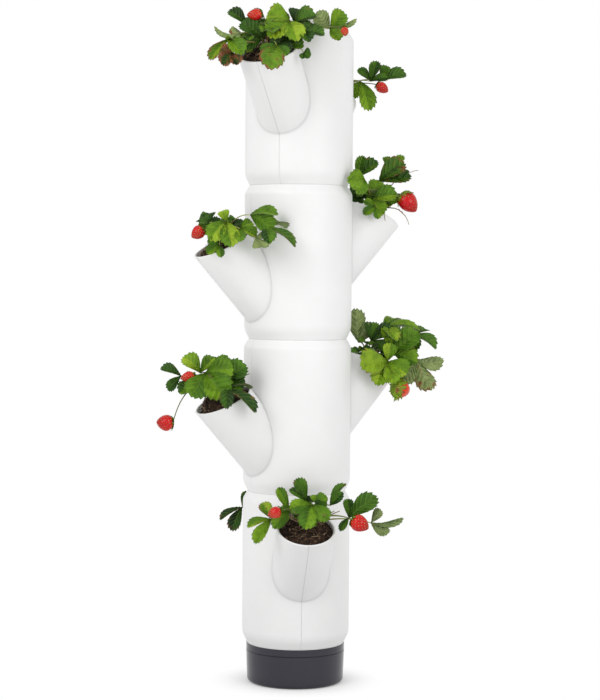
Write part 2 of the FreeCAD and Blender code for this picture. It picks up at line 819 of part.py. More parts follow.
def planted(shape, tier, is_high):
    """A copy of a plant's shape in its pocket of a tier, counted from 0 at the bottom."""
    r, z = mouth_centre(high_lip if is_high else low_lip)
    turn = tier_turns[tier]
    out = turned(Part.Vertex(0, -r if is_high else r, base_height + tier * tier_pitch + z), turn)
    copy = turned(shape, turn + plant_turns[tier])
    copy.Placement = Placement(out.Point, Rotation()).multiply(copy.Placement)
    return copy


def save_plants(soils):
    """Save every plant, cut off where it enters the soil, and its berries."""
    for name, (leaves, berries) in plants.items():
        tier = int(name[5]) - 1
        is_high = name.endswith("high")
        shape = planted(plant(leaves, berries), tier, is_high)
        save(shape.cut(soils[tier]), name + "_plant")
        fruit = []
        for top, tip, width in berries:
            fruit.append(planted(berry(Vector(*top), Vector(*tip), width), tier, is_high))
        if fruit:
            save(Part.makeCompound(fruit), name + "_berries")


def save(shape, name):
    shape.exportStep(os.path.join("parts", name + ".step"))


def main():
    os.makedirs("parts", exist_ok=True)
    save(water_tub(), "water_tub")
    save(base_collar(), "base_collar")
    save(base_grate(), "base_grate")
    save(wick_basket(), "wick_basket")
    save(base_soil(), "base_soil")
    left, right = half_shells()
    floor = tier_floor()
    soil = tier_soil()
    ring = turning_ring()
    soils = []
    for i, turn in enumerate(tier_turns):
        z = base_height + i * tier_pitch
        name = "tier_%d" % (i + 1)
        save(turned(ring, turn, z), "turning_ring_%d" % (i + 1))
        save(turned(left, turn, z), name + "_left_shell")
        save(turned(right, turn, z), name + "_right_shell")
        save(turned(floor, turn, z), name + "_floor")
        soils.append(turned(soil, turn, z))
        save(soils[i], name + "_soil")
    save(turned(ring, tier_turns[-1], base_height + len(tier_turns) * tier_pitch), "top_ring")
    save_plants(soils)


main()
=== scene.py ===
import bpy
import numpy as np
from math import sin, cos, tan, pi, radians, sqrt
from mathutils import Euler, Matrix, Vector


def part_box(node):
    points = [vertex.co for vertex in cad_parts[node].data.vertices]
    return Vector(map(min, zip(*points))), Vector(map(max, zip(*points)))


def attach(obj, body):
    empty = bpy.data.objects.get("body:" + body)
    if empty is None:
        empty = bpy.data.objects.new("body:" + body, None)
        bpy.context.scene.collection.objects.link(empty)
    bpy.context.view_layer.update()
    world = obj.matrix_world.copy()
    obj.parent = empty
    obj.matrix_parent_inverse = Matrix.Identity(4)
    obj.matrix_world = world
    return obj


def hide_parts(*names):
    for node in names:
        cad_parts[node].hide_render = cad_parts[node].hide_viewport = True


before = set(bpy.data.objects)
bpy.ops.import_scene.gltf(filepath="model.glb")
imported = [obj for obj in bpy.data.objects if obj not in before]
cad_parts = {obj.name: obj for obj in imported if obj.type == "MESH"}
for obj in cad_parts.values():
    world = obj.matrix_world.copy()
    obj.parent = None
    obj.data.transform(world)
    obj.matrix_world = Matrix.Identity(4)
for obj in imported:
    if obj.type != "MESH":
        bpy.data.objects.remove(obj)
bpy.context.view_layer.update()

# The dressed planting tower: the CAD shells, rings and base keep their shape and get moulded plastic,
# and the plants, berries and soil are modelled here. Metres, with the viewer on the -Y side.

# Where things are, from the frame and the same values as the part's source
MM = 0.001
tiers = 4
tier_pitch = 0.250
ring_skirt = 0.011
base_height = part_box("turning_ring_1")[0].z + ring_skirt
tier_turns = [6.5, 122.5, 119.5, -21.0]
tower_r = 0.088
wall = 0.003
pocket_r = 0.0465
bore_r = pocket_r - wall
pocket_reach = 0.185
slant = radians(43.0)
tilt = radians(26.5)
lips = {"high": 0.184, "low": 0.132}
soil_mouth_drop = 0.009
mound_height = 0.012
soil_gap = 0.0004
soil_top_drop = 0.014
open_top_r = 0.0735

# Teeth along each side of a leaflet, which its side veins run to
leaf_teeth = 9

# Colours of the two plastics, linear
white_low = (0.85, 0.85, 0.845)
white_high = (0.89, 0.89, 0.885)
dark_low = (0.024, 0.024, 0.035)
dark_high = (0.031, 0.030, 0.043)

# The camera as fitted to the photograph
photo_h = 700
focal_px = 1965.8
camera_place = (0.0042, -3.229, 0.6838)
camera_down = 2.43
camera_roll = 0.45
sensor = 36.0

# Light from the surround, and the two soft lights: name, place, aim, width, height and power
world_light = 0.77
softboxes = [
    ("key", (-2.0, -2.4, 2.4), (0, 0, 0.75), 1.6, 2.2, 34.0),
    ("fill", (2.2, -2.2, 1.7), (0, 0, 0.7), 1.6, 2.0, 18.0),
]


def up(z):
    return np.array([0.0, 0.0, z])


def unit(v):
    return v / np.linalg.norm(v)


# Node trees

def new_material(name):
    mat = bpy.data.materials.new(name)
    mat.use_nodes = True
    tree = mat.node_tree
    tree.nodes.clear()
    out = tree.nodes.new("ShaderNodeOutputMaterial")
    return mat, tree, out


def node(tree, kind, **values):
    """A node with its properties and unlinked sockets set by name."""
    n = tree.nodes.new("ShaderNode" + kind)
    for key, value in values.items():
        if hasattr(n, key):
            setattr(n, key, value)
        else:
            n.inputs[key.replace("_", " ")].default_value = value
    return n


def link(tree, a, b):
    tree.links.new(a, b)


def feed(tree, n, *values):
    """Links sockets to a node's inputs in order and sets plain values on them; None leaves one as it is."""
    for socket, value in zip(n.inputs, values):
        if hasattr(value, "is_linked"):
            link(tree, value, socket)
        elif value is not None:
            socket.default_value = value


def place(tree):
    return node(tree, "TexCoord").outputs["Object"]


def new_surface(name, roughness, specular):
    """A material with its node tree, its object coordinates and its shader."""
    mat, tree, out = new_material(name)
    bsdf = node(tree, "BsdfPrincipled", Roughness=roughness, Specular_IOR_Level=specular)
    link(tree, bsdf.outputs[0], out.inputs[0])
    return mat, tree, place(tree), bsdf


def noise(tree, where, scale, detail=3.0, roughness=0.55):
    n = node(tree, "TexNoise", Scale=scale, Detail=detail, Roughness=roughness)
    link(tree, where, n.inputs["Vector"])
    return n.outputs["Fac"]


def coat(tree, bsdf, tone, normal=None, roughness=None):
    for name, socket in (("Base Color", tone), ("Normal", normal), ("Roughness", roughness)):
        if socket is not None:
            link(tree, socket, bsdf.inputs[name])


def ramp(tree, value, stops):
    """A colour ramp from (place, colour) pairs, colours linear."""
    n = node(tree, "ValToRGB")
    cr = n.color_ramp
    while len(cr.elements) < len(stops):
        cr.elements.new(0.5)
    for e, (at, colour) in zip(cr.elements, stops):
        e.position = at
        e.color = (*colour, 1.0)
    link(tree, value, n.inputs["Fac"])
    return n.outputs["Color"]


def blend_colours(tree, factor, a, b, mode="MIX"):
    n = node(tree, "MixRGB", blend_type=mode)
    feed(tree, n, factor, *[(*c, 1.0) if isinstance(c, tuple) else c for c in (a, b)])
    return n.outputs[0]


def calc(tree, what, a, b=None, c=None, clamp=False):
    n = node(tree, "Math", operation=what, use_clamp=clamp)
    feed(tree, n, a, b, c)
    return n.outputs[0]


def vector_calc(tree, what, a, b=None):
    n = node(tree, "VectorMath", operation=what)
    feed(tree, n, a, b)
    return n.outputs["Value" if what in ("LENGTH", "DOT_PRODUCT") else "Vector"]


def smooth_range(tree, value, low, high, at_low=0.0, at_high=1.0):
    """Goes smoothly from at_low to at_high while value goes from low to high."""
    n = node(
        tree, "MapRange", interpolation_type="SMOOTHSTEP",
        From_Min=low, From_Max=high, To_Min=at_low, To_Max=at_high,
    )
    link(tree, value, n.inputs["Value"])
    return n.outputs["Result"]


def bump(tree, height, strength, distance, normal=None):
    n = node(tree, "Bump", Strength=strength, Distance=distance)
    link(tree, height, n.inputs["Height"])
    if normal is not None:
        link(tree, normal, n.inputs["Normal"])
    return n.outputs["Normal"]


def attribute(tree, name):
    return node(tree, "Attribute", attribute_name=name).outputs["Fac"]


# Materials

def pocket_axis(tier, pocket):
    """A point on a pocket's axis, the axis's direction and the way the pocket faces. tier counts from 0."""
    a = radians(tier_turns[tier] + (0 if pocket == "high" else 180))
    out = np.array([sin(a), -cos(a), 0.0])
    along = out * sin(slant) + up(cos(slant))
    r = pocket_reach - pocket_r * cos(slant)
    z = lips[pocket] + pocket_r * sin(slant)
    return out * r + up(base_height + tier * tier_pitch + z), along, out


def crease(tree, p, tier, pocket, spread):
    """1 where a pocket leaves its tier, falling to 0 a few times spread away."""
    point, along, out = pocket_axis(tier, pocket)
    away = vector_calc(tree, "SUBTRACT", p, point)
    from_axis = vector_calc(tree, "LENGTH", vector_calc(tree, "CROSS_PRODUCT", away, along))
    from_tower = vector_calc(tree, "LENGTH", vector_calc(tree, "MULTIPLY", p, (1.0, 1.0, 0.0)))
    side = vector_calc(tree, "DOT_PRODUCT", p, out)
    tube = calc(tree, "SUBTRACT", from_axis, pocket_r)
    wall_gap = calc(tree, "SUBTRACT", from_tower, tower_r)
    square = calc(tree, "ADD", calc(tree, "MULTIPLY", tube, tube), calc(tree, "MULTIPLY", wall_gap, wall_gap))
    near = calc(tree, "EXPONENT", calc(tree, "MULTIPLY", square, -1.0 / spread ** 2))
    return calc(tree, "MULTIPLY", near, calc(tree, "GREATER_THAN", side, 0.0))


# Painted shade along a crease, a thin dark line and a soft shade beside it: how far each spreads, in metres,
# and how dark it is
painted_crease_shade = [(0.0016, 0.24), (0.008, 0.05)]


def white_plastic(tier):
    """Satin white moulded plastic: faint flow streaks, fine grain, and painted shade in the creases."""
    mat, tree, p, bsdf = new_surface("white_plastic_%d" % (tier + 1), 0.42, 0.45)
    cloud = noise(tree, p, 9.0, 4.0)
    tone = ramp(tree, cloud, [(0.3, white_low), (0.7, white_high)])
    stretch = node(tree, "Mapping", Scale=(60.0, 60.0, 3.0))
    link(tree, p, stretch.inputs["Vector"])
    streak = noise(tree, stretch.outputs[0], 1.0, 2.0)
    tone = blend_colours(tree, calc(tree, "MULTIPLY", streak, 0.035), tone, (0.68, 0.68, 0.67))
    # Painted shade: the plastic is mixed towards grey along each crease where a pocket leaves its tier
    crease_shade = []
    for spread, weight in painted_crease_shade:
        near = calc(tree, "MAXIMUM", *[crease(tree, p, tier, pocket, spread) for pocket in lips])
        crease_shade.append(calc(tree, "MULTIPLY", near, weight))
    tone = blend_colours(tree, calc(tree, "ADD", *crease_shade), tone, (0.33, 0.33, 0.33))
    gentle = bump(tree, noise(tree, p, 26.0, 2.0), 0.10, 0.002)
    grain = bump(tree, noise(tree, p, 1400.0, 2.0), 0.08, 0.0002, gentle)
    coat(tree, bsdf, tone, grain, calc(tree, "MULTIPLY_ADD", cloud, 0.14, 0.34))
    return mat


def grey_ring_plastic():
    """Pale grey plastic of the turning rings, seen as thin lines at the joints."""
    mat, tree, p, bsdf = new_surface("ring_plastic", 0.5, 0.4)
    tone = ramp(tree, noise(tree, p, 60.0, 3.0), [(0.3, (0.70, 0.70, 0.69)), (0.7, (0.78, 0.78, 0.77))])
    coat(tree, bsdf, tone, bump(tree, noise(tree, p, 900.0, 2.0), 0.1, 0.0002))
    return mat


def dark_plastic(name, gloss):
    """Dark grey plastic: glossy outside on the base, matte on what is inside."""
    mat, tree, p, bsdf = new_surface(name, 0.2, 0.38)
    tone = ramp(tree, noise(tree, p, 14.0, 4.0), [(0.3, dark_low), (0.7, dark_high)])
    dust = noise(tree, p, 240.0, 5.0, 0.7)
    specks = ramp(tree, dust, [(0.62, (0.0, 0.0, 0.0)), (0.78, (0.10, 0.10, 0.10))])
    tone = blend_colours(tree, specks, tone, (0.16, 0.155, 0.15))
    low, span = (0.09, 0.08) if gloss else (0.5, 0.2)
    rough = calc(tree, "MULTIPLY_ADD", noise(tree, p, 35.0, 4.0), span, low)
    coat(tree, bsdf, tone, bump(tree, noise(tree, p, 30.0, 1.0), 0.12, 0.001), rough)
    return mat


def soil_material():
    """Moist planting soil: dark brown crumbs, lighter bark and coir."""
    mat, tree, p, bsdf = new_surface("soil", 0.9, 0.25)
    crumbs = noise(tree, p, 170.0, 6.0, 0.65)
    tone = ramp(tree, crumbs, [
        (0.30, (0.010, 0.006, 0.004)),
        (0.48, (0.032, 0.018, 0.011)),
        (0.62, (0.075, 0.042, 0.024)),
        (0.74, (0.17, 0.105, 0.062)),
    ])
    cells = node(tree, "TexVoronoi", Scale=260.0)
    link(tree, p, cells.inputs["Vector"])
    tint = blend_colours(tree, 0.35, tone, cells.outputs["Color"], "MULTIPLY")
    tint = blend_colours(tree, 0.55, tint, tone)
    grains = bump(tree, cells.outputs["Distance"], 0.6, 0.0015)
    coat(tree, bsdf, tint, bump(tree, crumbs, 0.9, 0.002, grains))
    return mat


def fibre_material():
    """Pale roots and coir fibres on the soil."""
    mat, tree, p, bsdf = new_surface("soil_fibre", 0.8, 0.3)
    tone = ramp(tree, noise(tree, p, 120.0, 3.0), [
        (0.3, (0.10, 0.055, 0.028)),
        (0.55, (0.26, 0.17, 0.10)),
        (0.75, (0.46, 0.36, 0.25)),
    ])
    coat(tree, bsdf, tone, bump(tree, noise(tree, p, 1500.0, 2.0), 0.3, 0.0003))
    return mat


def leaf_material(name, under):
    """Strawberry leaf. The mesh carries its veins, its place across the leaf, its tint with painted light on
    one half and painted shade on the other, and its age.
    """
    mat, tree, p, bsdf = new_surface(name, 0.46, 0.26)
    rib = attribute(tree, "rib")
    across = attribute(tree, "across")
    tint = attribute(tree, "tint")
    age = attribute(tree, "age")
    mottle = noise(tree, p, 90.0, 5.0, 0.6)
    fine = noise(tree, p, 620.0, 3.0)
    if under:
        fresh = ramp(tree, tint, [(0.0, (0.13, 0.19, 0.07)), (1.0, (0.38, 0.48, 0.17))])
        vein_tone = (0.52, 0.58, 0.34)
    else:
        fresh = ramp(tree, tint, [
            (0.0, (0.007, 0.030, 0.003)),
            (0.3, (0.024, 0.090, 0.005)),
            (0.6, (0.085, 0.215, 0.007)),
            (0.85, (0.210, 0.385, 0.011)),
            (1.0, (0.360, 0.520, 0.026)),
        ])
        vein_tone = (0.30, 0.46, 0.06)
    shade = ramp(tree, mottle, [(0.32, (0.34, 0.42, 0.30)), (0.58, (1.0, 1.0, 1.0))])
    tone = blend_colours(tree, 0.75, fresh, shade, "MULTIPLY")
    # Painted shade and light: darker towards the stem, where the leaves shade each other, and lighter towards
    # the tip
    far = ramp(tree, calc(tree, "DIVIDE", rib, leaf_teeth), [
        (0.0, (0.28, 0.34, 0.25)),
        (0.4, (0.78, 0.82, 0.75)),
        (1.0, (1.06, 1.04, 1.0)),
    ])
    tone = blend_colours(tree, 0.4 if under else 0.8, tone, far, "MULTIPLY")
    # The midrib and the side veins that run to the teeth
    wave = calc(tree, "ABSOLUTE", calc(tree, "SUBTRACT", calc(tree, "FRACT", rib), 0.5))
    from_vein = calc(tree, "MULTIPLY", calc(tree, "SUBTRACT", 0.5, wave), 9.0)
    side_vein = calc(tree, "SUBTRACT", 1.0, from_vein, clamp=True)
    midrib = calc(tree, "SUBTRACT", 1.0, calc(tree, "MULTIPLY", across, 16.0), clamp=True)
    vein = calc(tree, "MAXIMUM", calc(tree, "MULTIPLY", side_vein, 0.6), midrib)
    tone = blend_colours(tree, calc(tree, "MULTIPLY", vein, 0.6 if under else 0.45), tone, vein_tone)
    # Old leaves turn brown in patches, from their edges inwards
    rim = calc(tree, "MULTIPLY", calc(tree, "POWER", across, 3.0), 0.30)
    worn = calc(tree, "ADD", calc(tree, "MULTIPLY", mottle, 1.8), rim)
    worn = calc(tree, "ADD", worn, calc(tree, "MULTIPLY", age, 0.9))
    brown_part = calc(tree, "MULTIPLY", calc(tree, "SUBTRACT", worn, 1.55), 4.0, clamp=True)
    brown = ramp(tree, fine, [(0.3, (0.10, 0.030, 0.012)), (0.7, (0.34, 0.13, 0.045))])
    tone = blend_colours(tree, brown_part, tone, brown)
    groove = calc(tree, "MULTIPLY", vein, 1.0 if under else -1.0)
    veins = bump(tree, groove, 0.8, 0.0010)
    rough = calc(tree, "MULTIPLY_ADD", fine, 0.25, 0.36)
    coat(tree, bsdf, tone, bump(tree, fine, 0.25, 0.0004, veins), rough)
    return mat


def stem_material():
    """Green stems that turn red-brown towards the crown; the mesh carries how far along they are."""
    mat, tree, p, bsdf = new_surface("stem", 0.5, 0.4)
    along = attribute(tree, "across")
    tint = attribute(tree, "tint")
    green = ramp(tree, tint, [(0.0, (0.10, 0.13, 0.03)), (1.0, (0.42, 0.46, 0.12))])
    root = ramp(tree, noise(tree, p, 200.0, 3.0), [(0.3, (0.09, 0.030, 0.018)), (0.7, (0.24, 0.12, 0.05))])
    part = calc(tree, "MULTIPLY", calc(tree, "SUBTRACT", 0.75, along), 1.6, clamp=True)
    tone = blend_colours(tree, part, green, root)
    coat(tree, bsdf, tone, bump(tree, noise(tree, p, 900.0, 3.0), 0.3, 0.0004))
    return mat


def berry_material():
    """Glossy ripe berry, paler on its shoulders and with painted shade in its pits; age says how unripe it
    is.
    """
    mat, tree, p, bsdf = new_surface("berry", 0.15, 0.30)
    along = attribute(tree, "across")
    pit = attribute(tree, "tint")
    orange = attribute(tree, "age")
    tone = ramp(tree, along, [
        (0.0, (0.74, 0.12, 0.03)),
        (0.14, (0.72, 0.012, 0.012)),
        (0.6, (0.62, 0.005, 0.009)),
        (1.0, (0.44, 0.003, 0.006)),
    ])
    tone = blend_colours(tree, orange, tone, (0.86, 0.075, 0.008))
    cloud = ramp(tree, noise(tree, p, 140.0, 3.0), [(0.35, (0.70, 0.50, 0.50)), (0.65, (1.0, 1.0, 1.0))])
    tone = blend_colours(tree, 0.6, tone, cloud, "MULTIPLY")
    # Painted shade in the seed pits
    tone = blend_colours(tree, calc(tree, "MULTIPLY", pit, 0.5), tone, (0.20, 0.004, 0.006))
    coat(tree, bsdf, tone, bump(tree, noise(tree, p, 900.0, 2.0), 0.15, 0.0003))
    return mat


def seed_material():
    """The small yellow seeds in the berry's pits."""
    mat, tree, p, bsdf = new_surface("berry_seed", 0.45, 0.4)
    tone = ramp(tree, noise(tree, p, 500.0, 2.0), [(0.35, (0.44, 0.22, 0.05)), (0.65, (0.78, 0.56, 0.16))])
    coat(tree, bsdf, tone)
    return mat


materials = {"white_%d" % (tier + 1): white_plastic(tier) for tier in range(tiers)}
materials.update({
    "ring": grey_ring_plastic(),
    "base": dark_plastic("base_plastic", True),
    "inner": dark_plastic("inner_plastic", False),
    "soil": soil_material(),
    "fibre": fibre_material(),
    "leaf": leaf_material("leaf_top", False),
    "leaf_under": leaf_material("leaf_underside", True),
    "stem": stem_material(),
    "berry": berry_material(),
    "seed": seed_material(),
})


def dress_frame():
    """The CAD nodes that stay get their materials, by the first word here that is in their name."""
    halves = [(n, side) for n in range(1, tiers + 1) for side in ("left", "right")]
    kinds = [("tier_%d_%s_shell" % (n, side), "white_%d" % n) for n, side in halves]
    kinds += [
        ("turning_ring", "ring"), ("top_ring", "ring"), ("water_tub", "base"), ("base_collar", "base"),
        ("floor", "inner"), ("grate", "inner"), ("basket", "inner"), ("soil", "soil"),
    ]
    for name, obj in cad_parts.items():
        for word, kind in kinds:
            if word in name:
                obj.data.materials.clear()
                obj.data.materials.append(materials[kind])
                break


# Meshes

def new_object(name, data):
    obj = bpy.data.objects.new(name, data)
    bpy.context.scene.collection.objects.link(obj)
    return obj


class Mesh:
    """Collects points, faces and what the materials read, and makes one object of them."""

    def __init__(self):
        self.points = []
        self.faces = []
        self.kinds = []
        self.values = {"rib": [], "across": [], "tint": [], "age": []}

    def add(self, points, faces, kind, **values):
        start = len(self.points)
        self.points.extend(map(tuple, points))
        self.faces.extend([tuple(start + i for i in f) for f in faces])
        self.kinds.extend(kind if isinstance(kind, list) else [kind] * len(faces))
        for key, store in self.values.items():
            value = values.get(key, 0.0)
            store.extend(value if hasattr(value, "__len__") else [value] * len(points))

    def make(self, name, slots):
        data = bpy.data.meshes.new(name)
        data.from_pydata(self.points, [], self.faces)
        for s in slots:
            data.materials.append(materials[s])
        order = {s: i for i, s in enumerate(slots)}
        data.polygons.foreach_set("material_index", [order[k] for k in self.kinds])
        data.polygons.foreach_set("use_smooth", [True] * len(self.faces))
        for key, store in self.values.items():
            data.attributes.new(key, "FLOAT", "POINT").data.foreach_set("value", store)
        data.update()
        return new_object(name, data)


def grid_faces(rows, columns, ring=False):
    """Quads between rows of points; ring also joins each row's last point to its first."""
    out = []
    for row in range(0, (rows - 1) * columns, columns):
        for j in range(columns if ring else columns - 1):
            k = (j + 1) % columns
            out.append((row + j, row + k, row + columns + k, row + columns + j))
    return out


def tube_faces(rows, sides):
    """Rings of quads with a cap at each end."""
    ends = [tuple(range(sides))[::-1], tuple(range((rows - 1) * sides, rows * sides))]
    return grid_faces(rows, sides, ring=True) + ends


# How a leaf spreads, as in the part's source
side_turn = 62.0
side_share = 0.85
leaf_fullness = 1.25

# From the photograph, by plant and the leaf's number: how yellow a leaf is from 0 to 1, which leaves or
# (leaf, leaflet) pairs show their pale underside, and which leaves are browned. Then by plant: how old
# and how slim all its leaves are, and how unripe its berry is.
leaf_tints = {
    "tier_4_high": {
        0: 0.35, 1: 0.3, 2: 0.88, 3: 0.42, 5: 0.8, 6: 0.3,
        7: 0.66, 8: 0.1, 9: 0.55, 11: 0.35, 12: 0.35, 14: 0.85,
    },
    "tier_4_low": {0: 0.4, 1: 0.5, 2: 0.8},
    "tier_3_low": {0: 0.35, 1: 0.92, 2: 0.75, 3: 0.68, 4: 0.8},
    "tier_3_high": {0: 0.5, 1: 0.62, 2: 0.8, 3: 0.88, 4: 0.85, 5: 0.6},
    "tier_2_low": {0: 0.42, 1: 0.85, 2: 0.6, 3: 0.5, 4: 0.5, 5: 0.62, 6: 0.35},
    "tier_2_high": {0: 0.6, 1: 0.4, 2: 0.75, 3: 0.65, 4: 0.45, 5: 0.85, 6: 0.85, 7: 0.3, 8: 0.3},
    "tier_1_high": {0: 0.78, 1: 0.45, 2: 0.68, 3: 0.74, 4: 0.4, 5: 0.5, 6: 0.4},
    "tier_1_low": {0: 0.3},
}
turned_over = {
    "tier_4_high": (4, 10, (14, 1), (14, 3)),
    "tier_3_low": (5,),
    "tier_2_high": (0, 6),
    "tier_1_high": (6,),
}
browned = {"tier_4_high": {6: 0.85}, "tier_3_low": {3: 0.45}, "tier_3_high": {1: 0.5}, "tier_2_low": {6: 0.4}}
old_plants = {"tier_1_low": 0.5}
slim_plants = {"tier_1_high": 0.80}
unripe = {"tier_2_high": 0.75}
# How large the berries' stars are, how high the soil is heaped, and how many old stems stand on a
# crown, with the longest's length
calyx_sizes = {"tier_2_high": 1.5, "tier_3_high": 1.3}
heaps = {"tier_2_low": 0.024, "tier_3_low": 0.017}
old_stems = {"tier_1_high": (44, 0.032), "tier_2_low": (40, 0.030)}
few_old_stems = (22, 0.021)
# The ends of the dry stems that hang over a rim, in the same millimetres as the leaves
dry_stems = {"tier_3_high": [(59, -48, -16), (20, -52, -10), (54, -44, -3), (76, -10, 75)]}
# Young leaves on a plant, the tries to place them, and how far one stays from other leaves
young_leaves = 9
young_leaf_tries = 60
young_leaf_room = 0.012

# Radii of stems at their start and end, and how deep a crown sits in the soil
leaf_stem = (0.0013, 0.0008)
young_stem = (0.0011, 0.0007)
berry_stem = (0.0012, 0.0008)
dry_stem = (0.0010, 0.0005)
crown_sunk = 0.0075

# A leaflet's half thickness, and as shares of its size how far its teeth stand out and forward, how
# high its pleats, its arch and its waves rise, where its teeth start and where in a tooth its tip is
half_sheet = 0.00025
tooth_out = 0.13
tooth_forward = 0.06
pleat_rise = 0.040
arch_rise = 0.10
wave_rise = 0.012
bare_base = 0.12
tooth_tip = 0.75

# Where along a berry it is widest and how far its round shoulders reach, as shares of its length, and
# its seeds, which turn by the golden angle from one to the next
berry_widest = 0.36
berry_shoulder = 0.40
berry_seeds = 84
seed_turn = 2.399963

